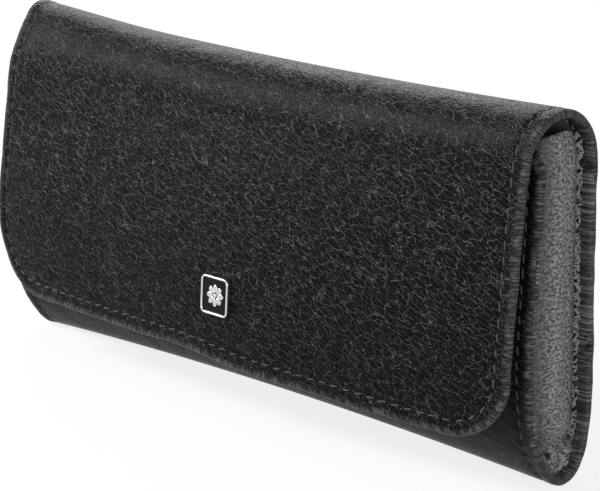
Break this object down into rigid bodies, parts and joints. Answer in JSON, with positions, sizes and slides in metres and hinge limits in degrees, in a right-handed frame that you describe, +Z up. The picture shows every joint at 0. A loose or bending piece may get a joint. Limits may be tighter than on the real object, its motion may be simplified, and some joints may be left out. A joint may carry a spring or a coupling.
{
  "type": "manicure set case",
  "caption": "Slim leather case with a wrap-over flap and a hidden press stud, holding nail scissors, nippers, tweezers, a file and a cuticle pusher in stitched straps.",
  "frame": {"origin": "centre of the bounding box, at the level of the flat strip under the base", "axes": "+Z up, the flap and badge face -Y, +X along the case to the right of a person who faces the flap"},
  "size_m": [0.148, 0.031, 0.075],
  "materials": {
    "outer_leather": "black grained full-grain leather, semi-matt",
    "gusset_leather": "smooth dark grey-black nappa leather",
    "lining": "fine smooth black leather lining",
    "strap_leather": "smooth black leather straps",
    "stiffener_board": "bonded fibre board",
    "badge_chrome": "polished chrome plating",
    "badge_enamel": "gloss black enamel",
    "press_stud_nickel": "nickel-plated steel",
    "instrument_steel": "satin stainless steel",
    "file_grip_plastic": "black moulded grip cheeks"
  },
  "bodies": {
    "case": {"outer_leather": "outer_leather", "front_board": "stiffener_board", "base_stiffener": "stiffener_board", "back_board": "stiffener_board", "case_lining": "lining", "left_edge_turn": "outer_leather", "right_edge_turn": "outer_leather", "left_gusset": "gusset_leather", "right_gusset": "gusset_leather", "stud_post": "press_stud_nickel", "stud_rivet": "press_stud_nickel", "scissors_strap": "strap_leather", "nipper_strap": "strap_leather", "nipper_handle_strap": "strap_leather", "tweezers_strap": "strap_leather", "lower_strap_left": "strap_leather", "lower_strap_right": "strap_leather", "scissors_fixed_half": "instrument_steel", "scissors_screw": "instrument_steel", "nipper_fixed_lever": "instrument_steel", "nipper_pivot": "instrument_steel", "nipper_fixed_leaf": "instrument_steel", "tweezers_root": "instrument_steel", "file_blade": "instrument_steel", "file_grip": "file_grip_plastic", "cuticle_pusher": "instrument_steel"},
    "fold_1": {"flap_fold_1": "outer_leather"},
    "fold_2": {"flap_fold_2": "outer_leather"},
    "fold_3": {"flap_fold_3": "outer_leather"},
    "fold_4": {"flap_fold_4": "outer_leather"},
    "fold_5": {"flap_fold_5": "outer_leather"},
    "flap": {"flap_leather": "outer_leather", "flap_board": "stiffener_board", "flap_lining": "lining", "stud_socket": "press_stud_nickel", "socket_spring": "press_stud_nickel", "socket_rivet": "press_stud_nickel", "badge_frame": "badge_chrome", "badge_enamel": "badge_enamel", "badge_rosette": "badge_chrome"},
    "scissors_half": {"scissors_moving_half": "instrument_steel"},
    "nipper_lever": {"nipper_moving_lever": "instrument_steel", "nipper_moving_leaf": "instrument_steel"},
    "tweezers_upper": {"tweezers_upper_arm": "instrument_steel"},
    "tweezers_lower": {"tweezers_lower_arm": "instrument_steel"}
  },
  "joints": [
    {"name": "flap_bend_1", "type": "hinge", "parent": "case", "child": "fold_1", "pos_m": [0, 0.01063, 0.06583], "axis": [-1, 0, 0], "range_deg": [0, 30]},
    {"name": "flap_bend_2", "type": "hinge", "parent": "fold_1", "child": "fold_2", "pos_m": [0, 0.00828, 0.07143], "axis": [-1, 0, 0], "range_deg": [0, 30]},
    {"name": "flap_bend_3", "type": "hinge", "parent": "fold_2", "child": "fold_3", "pos_m": [0, 0.00315, 0.07466], "axis": [-1, 0, 0], "range_deg": [0, 30]},
    {"name": "flap_bend_4", "type": "hinge", "parent": "fold_3", "child": "fold_4", "pos_m": [0, -0.0029, 0.07438], "axis": [-1, 0, 0], "range_deg": [0, 30]},
    {"name": "flap_bend_5", "type": "hinge", "parent": "fold_4", "child": "fold_5", "pos_m": [0, -0.00771, 0.07068], "axis": [-1, 0, 0], "range_deg": [0, 30]},
    {"name": "flap_bend_6", "type": "hinge", "parent": "fold_5", "child": "flap", "pos_m": [0, -0.00953, 0.0649], "axis": [-1, 0, 0], "range_deg": [0, 30]},
    {"name": "scissors_pivot", "type": "hinge", "parent": "case", "child": "scissors_half", "pos_m": [-0.022, 0.00936, 0.02755], "axis": [0, 0.9957, 0.0924], "range_deg": [0, 8]},
    {"name": "nipper_pivot", "type": "hinge", "parent": "case", "child": "nipper_lever", "pos_m": [0.0007, 0.01018, 0.04149], "axis": [0, 0.9957, 0.0924], "range_deg": [0, 8], "stiffness_Nm_per_rad": 0.2, "springref_deg": -3.44},
    {"name": "tweezers_upper_flex", "type": "hinge", "parent": "case", "child": "tweezers_upper", "pos_m": [-0.057, 0.00849, 0.05966], "axis": [0, 0.9957, 0.0924], "range_deg": [0, 1.5], "stiffness_Nm_per_rad": 0.4, "springref_deg": -1.15},
    {"name": "tweezers_lower_flex", "type": "hinge", "parent": "case", "child": "tweezers_lower", "pos_m": [-0.057, 0.00865, 0.05797], "axis": [0, -0.9957, -0.0924], "range_deg": [0, 1.5], "stiffness_Nm_per_rad": 0.4, "springref_deg": -1.15}
  ],
  "couplings": [
    {"joint": "flap_bend_2", "follows": "flap_bend_1", "ratio": 1},
    {"joint": "flap_bend_3", "follows": "flap_bend_1", "ratio": 1},
    {"joint": "flap_bend_4", "follows": "flap_bend_1", "ratio": 1},
    {"joint": "flap_bend_5", "follows": "flap_bend_1", "ratio": 1},
    {"joint": "flap_bend_6", "follows": "flap_bend_1", "ratio": 1},
    {"joint": "tweezers_lower_flex", "follows": "tweezers_upper_flex", "ratio": 1}
  ]
}
